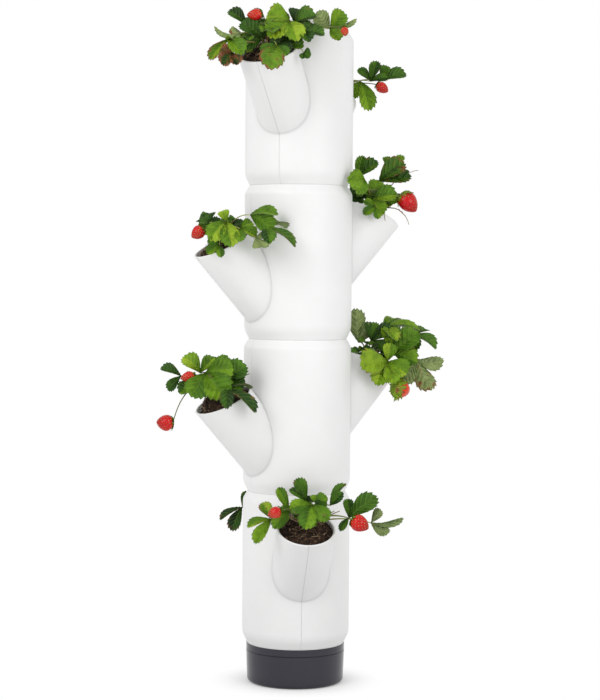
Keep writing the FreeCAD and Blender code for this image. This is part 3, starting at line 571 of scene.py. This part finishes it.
# Plants, as in the part's source, but for one leaf each of tier_4_high and tier_1_high, and two leaves
# and the berry of tier_2_high. A leaf is its stem's end and then its leaflets, each a tip, a width and
# how far its face leans from upwards to the viewer. A berry is its calyx, its tip and its width.
plants = {
    "tier_4_high": (
        [
            [(-33, 5, 41), ((-60, 8, 63), 18, 50), ((-12, 14, 66), 11, 60)],
            [(17, 10, 48), ((16, 12, 70), 14, 80)],
            [(36, -10, 45), ((4, -25, 19), 30, 60)],
            [(-7, -5, 18), ((-41, -3, 42), 24, 60)],
            [(-41, -10, 26), ((-81, -10, 35), 16, 20)],
            [(-60, -22, 16), ((-88, -30, -16), 15, 60), ((-38, -46, -10), 22, 60)],
            [(-52, -42, -8), ((-68, -44, -26), 18, 60)],
            [(15, -42, 4), ((5, -62, -33), 30, 70), ((31, -56, -12), 15, 60), ((-8, -56, -8), 14, 60)],
            [(29, -20, 15), ((8, -32, 3), 15, 60)],
            [(33, -12, 9), ((52, -10, 30), 20, 60)],
            [(42, -5, 29), ((58, -3, 46), 12, 50)],
            [(42, 8, 44), ((75, 8, 56), 24, 50)],
            [(55, -10, 29), ((88, -12, 25), 20, 40)],
            [(57, -20, -4), ((66, -22, -12), 9, 70)],
            [(98, 12, 37), ((116, 12, 65), 22, 120), ((80, 14, 64), 22, 60), ((112, 2, 18), 18, 50),
             ((138, 12, 52), 9, 40)],
        ],
        [((-9, -8, 57), (-32, -12, 54), 18), ((120, -8, 36), (122, -14, 23), 13)],
    ),
    "tier_4_low": (
        [
            [(70, 0, 31), ((81, 0, 64), 15, 60)],
            [(88, 0, 33), ((129, 0, 42), 22, 50), ((98, 4, 57), 14, 60)],
            [(52, -12, 30), ((68, -20, -18), 22, 60), ((38, -8, 4), 20, 60)],
            [(10, 40, 25), ((32, 62, 25), 24, -40), ((-12, 62, 22), 24, -40), ((12, 76, 6), 22, -30)],
            [(-45, 12, 30), ((-76, 20, 38), 22, 0), ((-58, -5, 48), 20, 20)],
            [(-32, 38, 12), ((-54, 58, 4), 22, -40)],
        ],
        [((81, -12, 24), (99, -18, 12), 19)],
    ),
    "tier_3_low": (
        [
            [(-15, 0, 21), ((-30, 5, 46), 16, 50)],
            [(9, -32, 35), ((-16, -50, 7), 24, 70), ((18, -52, -3), 24, 70), ((2, -27, 52), 14, 60)],
            [(47, -42, 46), ((89, -46, 47), 22, 30), ((82, -52, 22), 26, 60)],
            [(73, -50, 24), ((117, -56, -2), 22, 20)],
            [(31, -42, 24), ((56, -46, 12), 16, 50)],
            [(56, -56, 11), ((79, -58, 2), 12, 50)],
            [(-1, -52, -2), ((-20, -57, -15), 12, 70)],
            [(-8, 35, 18), ((-28, 52, 22), 22, -40), ((2, 62, 8), 22, -40), ((12, 44, 40), 18, -20)],
        ],
        [((-28, -28, 24), (-46, -32, 10), 21)],
    ),
    "tier_3_high": (
        [
            [(-26, 4, 62), ((-16, 4, 98), 14, 60), ((8, 2, 88), 22, 50)],
            [(10, -5, 56), ((52, -5, 86), 28, 60), ((62, -14, 62), 24, 60)],
            [(30, 12, 74), ((52, 14, 99), 12, 50)],
            [(-16, -90, 54), ((-44, -120, 54), 26, 90), ((-28, -116, 32), 18, 90)],
            [(-4, -30, 25), ((38, -36, 33), 24, 60)],
            [(4, -54, 12), ((-16, -64, 0), 12, 70)],
            [(22, 40, 25), ((44, 58, 24), 22, -30), ((10, 68, 12), 22, -30)],
        ],
        [((48, -18, 34), (72, -26, 6), 32)],
    ),
    "tier_2_low": (
        [
            [(-67, 2, 38), ((-99, 6, 50), 16, 40), ((-86, -4, 15), 14, 50)],
            [(-36, -5, 43), ((-62, 0, 69), 22, 50), ((-15, 2, 67), 16, 60)],
            [(-42, -14, 27), ((-68, -20, 12), 18, 50)],
            [(-12, 4, 48), ((12, 4, 64), 16, 40)],
            [(6, -15, 34), ((38, -15, 54), 28, 60)],
            [(-27, -30, 45), ((5, -46, 8), 36, 70)],
            [(9, -42, 20), ((53, -50, -14), 20, 20)],
            [(-6, 38, 18), ((-26, 56, 20), 22, -40), ((6, 62, 6), 22, -40)],
        ],
        [((-44, -26, 40), (-66, -30, 36), 17), ((-79, -26, -36), (-104, -32, -34), 27)],
    ),
    "tier_2_high": (
        [
            [(-17, 2, 36), ((-22, 6, 91), 24, 60), ((-2, 2, 69), 20, 50)],
            [(4, -10, 38), ((41, -10, 60), 22, 50)],
            [(23, 6, 57), ((84, 2, 58), 22, 20)],
            [(40, -22, 21), ((82, -24, 53), 30, 60)],
            [(72, 0, 49), ((112, -4, 28), 20, 30)],
            [(30, -50, 7), ((36, -46, 36), 18, 70), ((-13, -68, -2), 36, 60), ((61, -58, -12), 26, 60),
             ((12, -70, -30), 24, 65), ((40, -70, -28), 22, 65)],
            [(80, -8, 9), ((107, -12, -39), 26, 50)],
            [(12, 42, 20), ((36, 58, 22), 22, -30), ((0, 66, 8), 22, -40)],
            [(52, 26, 28), ((82, 40, 24), 22, -20), ((62, 50, 10), 20, -40)],
        ],
        [((41, -61, -35), (66, -41, -43), 31)],
    ),
    "tier_1_high": (
        [
            [(-54, -15, 16), ((-70, -8, 40), 20, 50), ((-91, -18, 5), 16, 40), ((-79, -34, -18), 20, 50)],
            [(0, 10, 41), ((-14, 22, 76), 20, 60), ((-26, 8, 60), 16, 40)],
            [(-27, -4, 28), ((-44, 4, 63), 16, 60), ((-50, -26, 4), 22, 60)],
            [(9, -20, 40), ((-2, -40, 6), 27, 70)],
            [(38, 0, 37), ((62, 8, 69), 20, 10), ((57, -12, 58), 18, 60)],
            [(67, -5, 18), ((66, 6, 46), 16, 60), ((110, -4, 50), 30, 60), ((54, -22, 0), 12, 50)],
            [(102, -8, 11), ((115, -12, 33), 15, 60), ((130, -14, -2), 20, 40), ((151, -4, 17), 14, 40)],
        ],
        [((-40, -40, 33), (-60, -44, 26), 19), ((72, -36, 20), (97, -42, 6), 26)],
    ),
    "tier_1_low": (
        [
            [(-77, 0, 50), ((-66, 6, 76), 14, 50), ((-114, 0, 30), 13, 30), ((-94, -12, 13), 18, 50)],
            [(30, 40, 25), ((60, 52, 30), 24, -30), ((36, 74, 12), 24, -40), ((18, 56, 48), 20, -20)],
            [(-26, 45, 20), ((-52, 64, 12), 24, -40), ((-12, 80, 4), 22, -40)],
            [(45, 5, 35), ((76, -2, 42), 22, 10), ((62, 24, 54), 20, 0)],
        ],
        [],
    ),
}


def leaflets(hub, listed):
    """A leaf's leaflets as in the source: all as listed, or the one listed and a smaller one each side."""
    if len(listed) > 1:
        return [(np.array(tip), width, lean) for tip, width, lean in listed]
    tip, width, lean = listed[0]
    along = np.array(tip) - hub
    face = leaf_face(unit(along), lean)
    found = [(np.array(tip), width, lean)]
    for turn in (-side_turn, side_turn):
        swung = Matrix.Rotation(radians(turn), 3, Vector(face)) @ Vector(along)
        found.append((hub + np.array(swung) * side_share, width * side_share, lean))
    return found


def leaf_face(along, lean):
    """The way a leaflet's upper side faces: leaning from upwards to the viewer, square to the leaflet."""
    a = radians(lean)
    want = np.array([0.0, -sin(a), cos(a)])
    return unit(want - along * want.dot(along))


def leaf_outline(u):
    """Half outline of a leaflet for u from 0 at its base to 1 at its tip: along and across, both 0 to 1."""
    x = (1 - np.cos(pi * u)) / 2
    y = 1.85 * x ** 0.9 * np.sqrt(np.clip(1 - x ** 2.3, 0, None))
    return x, y


def add_leaflet(mesh, base, tip, width, lean, rng, tint, age, over=False):
    """One toothed leaflet with pleats between its side veins, as a thin sheet with an underside."""
    along = tip - base
    length = np.linalg.norm(along)
    along = along / length
    width = width * leaf_fullness
    face = leaf_face(along, lean)
    if over:
        face = -face
    across = np.cross(along, face)
    rows = leaf_teeth * 4 + 1
    columns = 6
    u = np.linspace(0.0, 1.0, rows)
    x, y = leaf_outline(u)
    # Where the side vein that ends at each point leaves the midrib
    foot = np.clip(x - 0.30 * y, 0, 1) * 0.98
    phase = (u * leaf_teeth) % 1.0
    # A saw's tooth, leaning towards the leaflet's tip
    tooth = np.minimum(phase / tooth_tip, (1 - phase) / (1 - tooth_tip)) * np.where(u < bare_base, 0.0, 1.0)
    droop = rng.uniform(-0.03, 0.05)
    twist = rng.uniform(-0.10, 0.10)
    curl = rng.uniform(0.02, 0.10)
    fold = rng.uniform(0.35, 0.70)
    wave = rng.uniform(0, 2 * pi)
    # Painted light and shade: one half of the leaflet is lighter and the other darker, as a folded leaf
    # catches the light on one side
    painted_half_light = rng.uniform(-0.17, 0.17)
    # From one edge over the midrib to the other
    grid, edges, halves = [], [], []
    for column in range(-columns, columns + 1):
        s = 1 if column > 0 else -1
        v = abs(column) / columns
        px = foot + (x - foot) * v + tooth_forward * tooth * v ** 3
        py = y * v * (1.0 + tooth_out * tooth * v ** 3)
        pleat = pleat_rise * np.cos(2 * pi * u * leaf_teeth) * np.sin(pi * min(v * 0.95 + 0.05, 1.0)) ** 0.6
        lift = (arch_rise + droop) * 4 * px * (1 - px) + pleat
        lift = lift + wave_rise * np.sin(5 * px + 3 * s * v + wave) * v
        side = s * py * width / 2
        rise = lift * length + fold * np.abs(side) - curl * side ** 2 / (width / 2) + twist * side * px
        grid.append(base + np.outer(px * length, along) + np.outer(side, across) + np.outer(rise, face))
        edges += [v] * rows
        halves += [float(np.clip(tint + s * painted_half_light, 0, 1))] * rows
    count = len(grid)
    flat = np.vstack(grid)
    n = len(flat)
    quads = grid_faces(count, rows)
    below = [tuple(i + n for i in q[::-1]) for q in quads]
    rim = list(range(rows)) + [(count - 1) * rows + i for i in range(rows - 1, -1, -1)]
    sides = [(rim[i], rim[i + 1], rim[i + 1] + n, rim[i] + n) for i in range(len(rim) - 1)]
    kinds = ["leaf"] * len(quads) + ["leaf_under"] * (len(below) + len(sides))
    mesh.add(
        np.vstack([flat + face * half_sheet, flat - face * half_sheet]), quads + below + sides, kinds,
        rib=np.tile(u * leaf_teeth, 2 * count), across=edges * 2, tint=halves * 2, age=age,
    )


def stem_path(start, end, count=14):
    """The curve of a stem, as in the part's source."""
    reach = np.array([end[0] - start[0], end[1] - start[1], 0.0])
    rise = end[2] - start[2]
    if rise > 0:
        middle = start + reach * 0.45 + up(rise * 0.7 + 0.016)
    else:
        middle = start + reach * 0.75 + up(0.016 - rise * 0.3)
    t = np.linspace(0, 1, count)[:, None]
    return start * (1 - t) ** 2 + middle * 2 * t * (1 - t) + end * t ** 2


def add_tube(mesh, path, radii, kind, sides=8, **values):
    """A closed tube along a path; the materials read from across how far along they are."""
    rings = []
    lead = up(1.0)
    angles = np.linspace(0, 2 * pi, sides, endpoint=False)
    for i, p in enumerate(path):
        along = unit(path[min(i + 1, len(path) - 1)] - path[max(i - 1, 0)])
        side = np.cross(along, lead)
        if np.linalg.norm(side) < 0.05:
            side = np.cross(along, np.array([0.0, 1.0, 0.0]))
        side = unit(side)
        rise = np.cross(side, along)
        rings.append(p + radii[i] * (np.outer(np.cos(angles), side) + np.outer(np.sin(angles), rise)))
    points = np.vstack(rings)
    far = np.repeat(np.linspace(0, 1, len(path)), sides)
    mesh.add(points, tube_faces(len(path), sides), kind, across=far, **values)


def add_crown(mesh, start, rng):
    """The short woody crown with its papery scales."""
    rows, sides = 7, 14
    points = []
    for i in range(rows):
        t = i / (rows - 1)
        r = (0.0085 - 0.003 * t) * (1 + 0.10 * sin(9 * t))
        for j in range(sides):
            a = 2 * pi * j / sides
            k = 1 + 0.16 * sin(5 * a + 7 * t) + rng.uniform(-0.06, 0.06)
            points.append(start + np.array([r * k * cos(a), r * k * sin(a), -0.008 + 0.014 * t]))
    faces = grid_faces(rows, sides, ring=True)
    faces.append(tuple(range((rows - 1) * sides, rows * sides)))
    mesh.add(points, faces, "stem", across=0.15, tint=0.4)
    for i in range(7):
        a = 2 * pi * i / 7 + rng.uniform(-0.3, 0.3)
        out = np.array([cos(a), sin(a), 0.0])
        low = start + out * 0.006 + up(-0.004)
        top = start + out * rng.uniform(0.007, 0.012) + up(rng.uniform(0.008, 0.015))
        side = np.cross(out, [0, 0, 1.0]) * 0.0035
        middle = (low + top) / 2
        bulge = out * 0.002
        points = [low - side, low + side, middle + side * 0.9 + bulge, top, middle - side * 0.9 + bulge]
        mesh.add(points, [(0, 1, 2, 3, 4)], "stem", across=0.35, tint=0.8)


def add_stubs(mesh, start, rng, count, longest):
    """The dry stubs of old stems around a crown."""
    steps = np.linspace(0, 1, 6)
    for _ in range(count):
        a = rng.uniform(0, 2 * pi)
        out = np.array([cos(a), sin(a), 0.0])
        low = start + out * rng.uniform(0.002, 0.006) + up(-0.003)
        length = rng.uniform(0.008, longest)
        spread = rng.uniform(0.2, 1.8)
        kind = "fibre" if rng.random() < 0.6 else "stem"
        path = [low + out * length * spread * t ** 1.4 + up(length * t) for t in steps]
        thick = rng.uniform(0.0008, 0.0014)
        tint = rng.uniform(0.0, 0.35)
        add_tube(mesh, np.array(path), np.linspace(thick, thick * 0.6, len(path)), kind, sides=6, tint=tint)


def add_calyx(mesh, top, tip, width, rng, size):
    """The star of narrow sepals that lies back over a berry's shoulders and curls up at its tips."""
    along = unit(tip - top)
    berry_length = np.linalg.norm(tip - top)
    side = unit(np.cross(along, [0.2, 0.1, 1.0]))
    rise = np.cross(along, side)
    dry = size > 1
    sepals = 22 if dry else 12
    for i in range(sepals):
        a = 2 * pi * (i + rng.uniform(-0.25, 0.25)) / sepals
        out = side * cos(a) + rise * sin(a)
        edge = np.cross(along, out)
        length = width * rng.uniform(0.36, 0.52) * size
        lift = rng.uniform(0.3, 2.6) * MM * size
        broad = width * rng.uniform(0.075, 0.11)
        rows = []
        for t in (0.0, 0.25, 0.5, 0.75, 0.9, 1.0):
            reach = min(2 * length * t / width, 1.0)
            shoulder = berry_length * max(0.0, berry_widest - berry_shoulder * sqrt(1 - reach ** 2))
            half = broad * (t * 1.6 + 0.45) * (1 - t ** 2.5) + 0.0001
            mid = top + along * (shoulder - 0.0009 - lift * t ** 2) + out * length * t
            rows.append([mid - edge * half - along * 0.0006, mid, mid + edge * half - along * 0.0006])
        points = np.array(rows).reshape(-1, 3)
        faces = grid_faces(len(rows), 3)
        points = np.vstack([points, points + along * 0.0003])
        both = faces + [tuple(k + 3 * len(rows) for k in f[::-1]) for f in faces]
        age = rng.uniform(0.55, 0.85) if dry else 0.1
        mesh.add(points, both, "leaf", across=0.5, rib=5.5, tint=0.92 if dry else 0.75, age=age)


def plant_origin(tier, pocket):
    """The middle of a pocket's mouth. tier counts from 0."""
    point, along, out = pocket_axis(tier, pocket)
    r = pocket_reach - pocket_r * cos(slant)
    # How far the sloping mouth plane cuts the axis behind that point
    above = pocket_r * sin(slant) - (pocket_reach - r) * tan(tilt)
    back = above / (cos(slant) + tan(tilt) * sin(slant))
    return point - along * back, out


def add_berry(mesh, top, tip, width, rng, age):
    """A berry with seeds in pits, on a spiral."""
    along = tip - top
    length = np.linalg.norm(along)
    along = along / length
    side = unit(np.cross(along, [0.2, 0.1, 1.0]))
    rise = np.cross(along, side)
    r = width / 2
    rows, sides = 40, 56
    t = np.linspace(0, 1, rows)
    # Round shoulders, then a cone with a blunt tip
    shoulder = (berry_widest - t) / berry_shoulder
    profile = r * np.sqrt(np.clip(1 - shoulder ** 2, 0, None)) * (t < berry_widest)
    lower = np.clip((t - berry_widest) / (1 - berry_widest), 0, 1)
    profile = profile + r * (1 - lower ** 1.9) ** 0.72 * (t >= berry_widest)
    profile = np.maximum(profile, 0.02 * r)
    lump = rng.uniform(0, 2 * pi, 3)
    angles = np.linspace(0, 2 * pi, sides, endpoint=False)
    tt, aa = np.meshgrid(t, angles, indexing="ij")
    radius = np.repeat(profile[:, None], sides, 1)
    radius = radius * (1 + 0.035 * np.sin(2 * aa + lump[0]) + 0.02 * np.sin(3 * aa + 5 * tt + lump[1]))
    normal = np.cos(aa)[..., None] * side + np.sin(aa)[..., None] * rise
    body = top + tt[..., None] * length * along + radius[..., None] * normal
    pit = np.zeros_like(tt)
    places = []
    # Pits are 1.1 mm in a berry 24 mm wide, and none are where the tip is narrow
    pit_r = 0.0011 * width / 0.024
    for k in range(berry_seeds):
        h = 0.07 + 0.87 * (k + 0.5) / berry_seeds
        a = k * seed_turn
        rr = np.interp(h, t, profile)
        if rr < 0.25 * r:
            continue
        out = side * cos(a) + rise * sin(a)
        p = top + along * h * length + out * rr
        d = np.linalg.norm(body - p, axis=2) / pit_r
        pit = np.maximum(pit, np.exp(-d ** 2))
        places.append((p, out))
    body = body - normal * (pit * 0.0006)[..., None]
    faces = tube_faces(rows, sides)
    mesh.add(body.reshape(-1, 3), faces, "berry", across=tt.ravel(), tint=pit.ravel(), age=age)
    long, wide, corners = 0.00085, 0.00055, 8
    angles = np.linspace(0, 2 * pi, corners, endpoint=False)
    for p, out in places:
        edge = unit(np.cross(along, out))
        drop = np.cross(out, edge)
        c = p - out * 0.00035
        ring = [c + drop * long * cos(a) + edge * wide * sin(a) for a in angles]
        faces = [(0, 1 + k, 1 + (k + 1) % corners) for k in range(corners)]
        mesh.add([c + out * 0.0004] + ring, faces, "seed")


def add_young_leaf(mesh, origin, start, taken, rng):
    """A small leaf that fills the middle of the plant, where no leaflet is near; says if it was added."""
    a = rng.uniform(0, 2 * pi)
    out = np.array([cos(a), sin(a), 0.0])
    hub = origin + out * rng.uniform(0.006, 0.028) + up(rng.uniform(0.012, 0.038))
    heading = unit(out + up(rng.uniform(-0.3, 0.9)))
    size = rng.uniform(0.014, 0.021)
    tint = rng.uniform(0.10, 0.80)
    lean = rng.uniform(20, 70)
    middle = hub + heading * size / 2
    if any(np.linalg.norm(middle - t) < young_leaf_room for t in taken):
        return 0
    taken.append(middle)
    path = stem_path(start, hub)
    add_tube(mesh, path, np.linspace(*young_stem, len(path)), "stem", tint=rng.uniform(0.2, 0.8))
    listed = [(tuple((hub + heading * size) / MM), size * 0.85 / MM, lean)]
    for tip, width, face_lean in leaflets(hub / MM, listed):
        add_leaflet(mesh, hub, tip * MM, width * MM, face_lean, rng, tint, 0.1)
    return 1


def make_plants():
    """Each plant with its soft green parts in one piece and its berries in another."""
    for index, (name, (leaves, berries)) in enumerate(plants.items()):
        rng = np.random.default_rng(100 + index)
        tier = int(name[5]) - 1
        pocket = name.split("_")[2]
        origin, _ = plant_origin(tier, pocket)
        start = origin + up(heaps.get(name, mound_height) - crown_sunk)
        green = Mesh()
        add_crown(green, start, rng)
        add_stubs(green, start, rng, *old_stems.get(name, few_old_stems))
        for end in dry_stems.get(name, []):
            path = stem_path(start, origin + np.array(end) * MM, 18)
            path[1:-1] += rng.uniform(-0.0008, 0.0008, (len(path) - 2, 3))
            add_tube(green, path, np.linspace(*dry_stem, len(path)), "fibre", sides=6)
        taken = []
        for number, leaf in enumerate(leaves):
            hub = origin + np.array(leaf[0]) * MM
            path = stem_path(start, hub)
            jitter = rng.uniform(0.85, 1.1)
            radii = np.linspace(*leaf_stem, len(path)) * jitter
            add_tube(green, path, radii, "stem", tint=rng.uniform(0.2, 1.0))
            leaf_tint = rng.choice([0.12, 0.38, 0.6, 0.78, 0.95], p=[0.16, 0.22, 0.26, 0.22, 0.14])
            leaf_tint = leaf_tints.get(name, {}).get(number, leaf_tint)
            turned = turned_over.get(name, ())
            old = browned.get(name, {}).get(number, old_plants.get(name, 0.0))
            for place_in_leaf, (tip, width, lean) in enumerate(leaflets(np.array(leaf[0], float), leaf[1:])):
                over = number in turned or (number, place_in_leaf) in turned
                width = width * slim_plants.get(name, 1.0)
                tint = float(np.clip(leaf_tint * (1 - 0.5 * old) + rng.uniform(-0.10, 0.10), 0, 1))
                age = max(old, float(rng.choice([0.0, 0.15, 0.35, 0.6], p=[0.5, 0.3, 0.14, 0.06])))
                add_leaflet(green, hub, origin + tip * MM, width * MM, lean, rng, tint, age, over)
                taken.append((hub + origin + tip * MM) / 2)
        made = 0
        for _ in range(young_leaf_tries):
            if made < young_leaves:
                made += add_young_leaf(green, origin, start, taken, rng)
        fruit = Mesh()
        for top, tip, width in berries:
            top = origin + np.array(top) * MM
            tip = origin + np.array(tip) * MM
            along = unit(tip - top)
            path = stem_path(start, top - along * 0.0008, 18)
            add_tube(green, path, np.linspace(*berry_stem, len(path)), "stem", tint=0.08)
            add_calyx(green, top, tip, width * MM, rng, calyx_sizes.get(name, 1.0))
            add_berry(fruit, top, tip, width * MM, rng, unripe.get(name, 0.0))
        body = "tier_%d" % (tier + 1)
        obj = green.make(name + "_green", ["leaf", "leaf_under", "stem", "fibre"])
        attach(obj, body)
        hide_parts(name + "_plant")
        if berries:
            obj = fruit.make(name + "_fruit", ["berry", "seed"])
            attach(obj, body)
            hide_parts(name + "_berries")


def add_chip(mesh, centre, size, rng, kind):
    """A bark chip or crumb: a lumpy box with its corners pushed about."""
    turn = np.array(Euler(rng.uniform(0, 2 * pi, 3)).to_matrix())
    corners = []
    for z in (-1, 1):
        for x, y in ((-1, -1), (1, -1), (1, 1), (-1, 1)):
            corners.append(np.array([x, y, z]) * size * rng.uniform(0.6, 1.1, 3))
    points = [centre + turn @ c for c in corners]
    faces = [(0, 3, 2, 1), (4, 5, 6, 7), (0, 1, 5, 4), (1, 2, 6, 5), (2, 3, 7, 6), (3, 0, 4, 7)]
    mesh.add(points, faces, kind)


# Chips and fibres on a pocket's soil and on the open top's
pocket_litter = (150, 46)
top_litter = (420, 90)


def loose_soil(mesh, put, long, wide, mound, chips, fibres, rng):
    """Lumpy soil, crumbs, bark and roots on an ellipse. put(x, y, h) gives the point h over its plane."""
    phases = rng.uniform(0, 2 * pi, 4)

    def out_at(x, y):
        return sqrt((x / long) ** 2 + (y / wide) ** 2)

    def height(x, y):
        q = out_at(x, y)
        lumps = 0.0012 * sin(310 * x + phases[0]) * sin(280 * y + phases[1])
        lumps += 0.0009 * sin(620 * x + 300 * y + phases[2]) * sin(540 * y - 200 * x + phases[3])
        return mound * max(0.0, 1 - (q / 0.90) ** 2) ** 0.7 + 0.0008 + lumps * (1 - q ** 6)

    def anywhere(most):
        q = sqrt(rng.uniform(0, most))
        b = rng.uniform(0, 2 * pi)
        return long * q * cos(b), wide * q * sin(b)

    rows, sides = 26, 72
    points = []
    for i in range(rows):
        q = (i / (rows - 1)) ** 0.8
        for j in range(sides):
            b = 2 * pi * j / sides
            x, y = long * q * cos(b), wide * q * sin(b)
            rough = rng.uniform(-0.0007, 0.0007) if i < rows - 1 else 0
            points.append(put(x, y, height(x, y) + rough))
    mesh.add(points, grid_faces(rows, sides, ring=True), "soil")
    for _ in range(chips):
        x, y = anywhere(0.9)
        size = np.array([rng.uniform(0.8, 3.0), rng.uniform(0.6, 1.6), rng.uniform(0.4, 1.0)]) * MM
        kind = "soil" if rng.random() < 0.72 else "fibre"
        add_chip(mesh, put(x, y, height(x, y) + 0.0006), size, rng, kind)
    steps = np.linspace(0, 1, 9)
    for _ in range(fibres):
        x, y = anywhere(0.75)
        heading = rng.uniform(0, 2 * pi)
        length = rng.uniform(0.008, 0.024)
        bend = rng.uniform(-1.5, 1.5)
        path = []
        for t in steps:
            ex = x + length * t * cos(heading + bend * t)
            ey = y + length * t * sin(heading + bend * t)
            back = max(1.0, out_at(ex, ey) / 0.93)
            ex, ey = ex / back, ey / back
            rise = 0.0008 + 0.0022 * sin(pi * t) * abs(sin(3 * bend))
            path.append(put(ex, ey, height(ex, ey) + rise))
        path = np.array(path)
        if np.min(np.linalg.norm(np.diff(path, axis=0), axis=1)) > 1e-5:
            add_tube(mesh, path, np.full(len(path), rng.uniform(0.0002, 0.00045)), "fibre", sides=5)


def make_soil_tops():
    """Loose soil on the plugs in the pockets' mouths and in the open top."""
    for tier in range(tiers):
        for pocket in lips:
            rng = np.random.default_rng(500 + 10 * tier + (pocket == "low"))
            origin, out = plant_origin(tier, pocket)
            side = np.array([-out[1], out[0], 0.0])
            normal = out * sin(tilt) + up(cos(tilt))
            uphill = np.cross(normal, side)
            lag = tan(slant - tilt)

            def put(x, y, h):
                h = h - soil_mouth_drop
                return origin - uphill * (x + h * lag) + side * y + normal * h

            # The mouth plane cuts the tube in an ellipse, longer up and down the slope
            wide = bore_r - soil_gap
            mesh = Mesh()
            name = "tier_%d_%s" % (tier + 1, pocket)
            heap = heaps.get(name, mound_height)
            loose_soil(mesh, put, wide / cos(slant - tilt), wide, heap, *pocket_litter, rng)
            finish_soil(mesh, name + "_soil_top", name[:6])
    top = base_height + tiers * tier_pitch - soil_top_drop
    mesh = Mesh()

    def put_top(x, y, h):
        return np.array([x, y, top + h])

    loose_soil(mesh, put_top, open_top_r, open_top_r, 0.0, *top_litter, np.random.default_rng(600))
    finish_soil(mesh, "open_top_soil", "tier_%d" % tiers)


def finish_soil(mesh, name, body):
    obj = mesh.make(name, ["soil", "fibre"])
    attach(obj, body)


# Stage

opaque_white = (1.0, 1.0, 1.0, 1.0)


def mix_shaders(tree, out, factor, a, b):
    mix = node(tree, "MixShader")
    feed(tree, mix, factor, a.outputs[0], b.outputs[0])
    link(tree, mix.outputs[0], out.inputs[0])


def make_floor():
    """A pale floor that keeps the object's soft shadow and runs out into plain white."""
    size = 14.0
    corners = [(-size, -size, 0), (size, -size, 0), (size, size, 0), (-size, size, 0)]
    data = bpy.data.meshes.new("floor")
    data.from_pydata(corners, [], [(0, 1, 2, 3)])
    obj = new_object("floor", data)
    mat, tree, out = new_material("floor")
    p = place(tree)
    rays = node(tree, "LightPath").outputs
    seen = calc(tree, "MAXIMUM", rays["Is Camera Ray"], rays["Is Glossy Ray"])
    seen = calc(tree, "MAXIMUM", seen, rays["Is Transmission Ray"])
    pale = ramp(tree, noise(tree, p, 30.0, 3.0), [(0.3, (0.94, 0.94, 0.94)), (0.7, (0.96, 0.96, 0.96))])
    away = vector_calc(tree, "LENGTH", p)
    # What the floor throws back onto the tower, less close to its foot
    bounce = smooth_range(tree, away, 0.15, 0.80, 0.62, 0.95)
    grey = node(tree, "CombineColor")
    feed(tree, grey, bounce, bounce, bounce)
    diffuse = node(tree, "BsdfDiffuse")
    link(tree, blend_colours(tree, seen, grey.outputs[0], pale), diffuse.inputs["Color"])
    glow = node(tree, "Emission", Color=opaque_white, Strength=1.0)
    # Plain white to the camera from 15 cm out
    fade = calc(tree, "MULTIPLY", smooth_range(tree, away, 0.040, 0.150), seen)
    mix_shaders(tree, out, fade, diffuse, glow)
    data.materials.append(mat)


def make_world(light):
    """An even studio surround that lights the object, and that the camera sees as white."""
    world = bpy.data.worlds.new("studio")
    bpy.context.scene.world = world
    world.use_nodes = True
    tree = world.node_tree
    tree.nodes.clear()
    out = tree.nodes.new("ShaderNodeOutputWorld")
    dim = node(tree, "Background", Color=opaque_white, Strength=light)
    white = node(tree, "Background", Color=opaque_white, Strength=1.0)
    mix_shaders(tree, out, node(tree, "LightPath").outputs["Is Camera Ray"], dim, white)


def make_softbox(name, at, look, width, height, power):
    data = bpy.data.lights.new(name, "AREA")
    data.shape = "RECTANGLE"
    data.size = width
    data.size_y = height
    data.energy = power
    obj = new_object(name, data)
    obj.location = at
    obj.rotation_euler = (Vector(look) - Vector(at)).to_track_quat("-Z", "Y").to_euler()


def make_camera():
    data = bpy.data.cameras.new("camera")
    data.sensor_width = sensor
    data.lens = focal_px * sensor / photo_h
    data.clip_end = 100.0
    obj = new_object("camera", data)
    down = Euler((radians(90 - camera_down), 0, 0)).to_matrix()
    obj.rotation_euler = (down @ Matrix.Rotation(radians(camera_roll), 3, "Z")).to_euler()
    obj.location = camera_place
    bpy.context.scene.camera = obj


make_camera()
dress_frame()
make_plants()
make_soil_tops()
make_floor()
make_world(world_light)
for softbox in softboxes:
    make_softbox(*softbox)
bpy.context.scene.view_settings.view_transform = "Standard"
